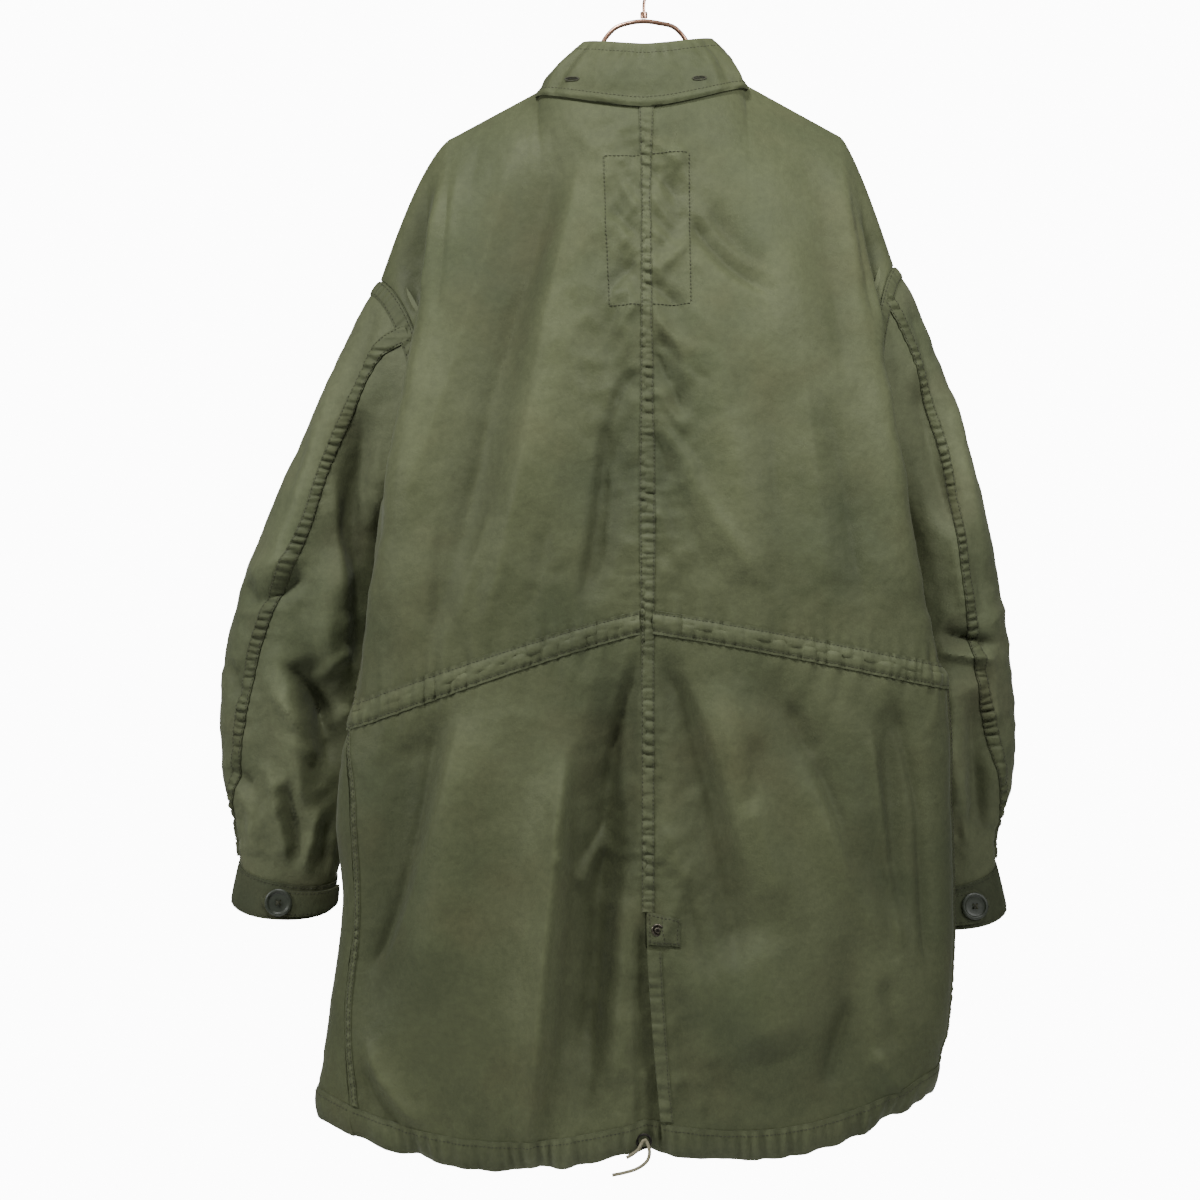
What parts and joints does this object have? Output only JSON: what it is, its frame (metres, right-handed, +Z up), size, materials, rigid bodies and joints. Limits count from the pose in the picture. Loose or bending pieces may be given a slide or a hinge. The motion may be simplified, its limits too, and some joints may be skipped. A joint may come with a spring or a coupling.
{
  "type": "fishtail parka on a wire hanger",
  "caption": "Long cotton fishtail parka with a standing collar, drawn waist, gathered hem and split tails, hanging on a wire coat hanger.",
  "frame": {"origin": "inner top of the hanger hook's crook, where the rail carries it", "axes": "+Z up, +X to the wearer's right, +Y to the wearer's front"},
  "size_m": [0.7924, 0.2658, 1.1838],
  "materials": {
    "cloth": "worn olive cotton sateen, soft sheen",
    "button": "dark green urea plastic",
    "snap": "blackened brass with a worn rim",
    "cord": "grey khaki cotton lace",
    "steel": "bronze-toned plated wire"
  },
  "bodies": {
    "root": {"back_left": "cloth", "back_right": "cloth", "button_left": "button", "button_right": "button", "centre_back_seam": "cloth", "collar": "cloth", "cuff_left": "cloth", "cuff_right": "cloth", "cuff_tab_left": "cloth", "cuff_tab_right": "cloth", "drawcord": "cord", "fly_flap": "cloth", "fly_snap_1": "snap", "fly_snap_2": "snap", "fly_snap_3": "snap", "fly_snap_4": "snap", "fly_snap_5": "snap", "fly_snap_6": "snap", "front_left": "cloth", "front_right": "cloth", "hanger_frame": "steel", "hanger_hook": "steel", "hanger_nut": "steel", "hem_casing_back_left": "cloth", "hem_casing_back_right": "cloth", "hem_casing_front_left": "cloth", "hem_casing_front_right": "cloth", "hem_eyelet": "snap", "sleeve_left_seam": "cloth", "sleeve_left_under": "cloth", "sleeve_left_upper": "cloth", "sleeve_right_seam": "cloth", "sleeve_right_under": "cloth", "sleeve_right_upper": "cloth", "vent_patch": "cloth", "vent_snap": "snap", "waist_channel_back_left": "cloth", "waist_channel_back_right": "cloth", "waist_channel_front_left": "cloth", "waist_channel_front_right": "cloth"}
  },
  "joints": []
}
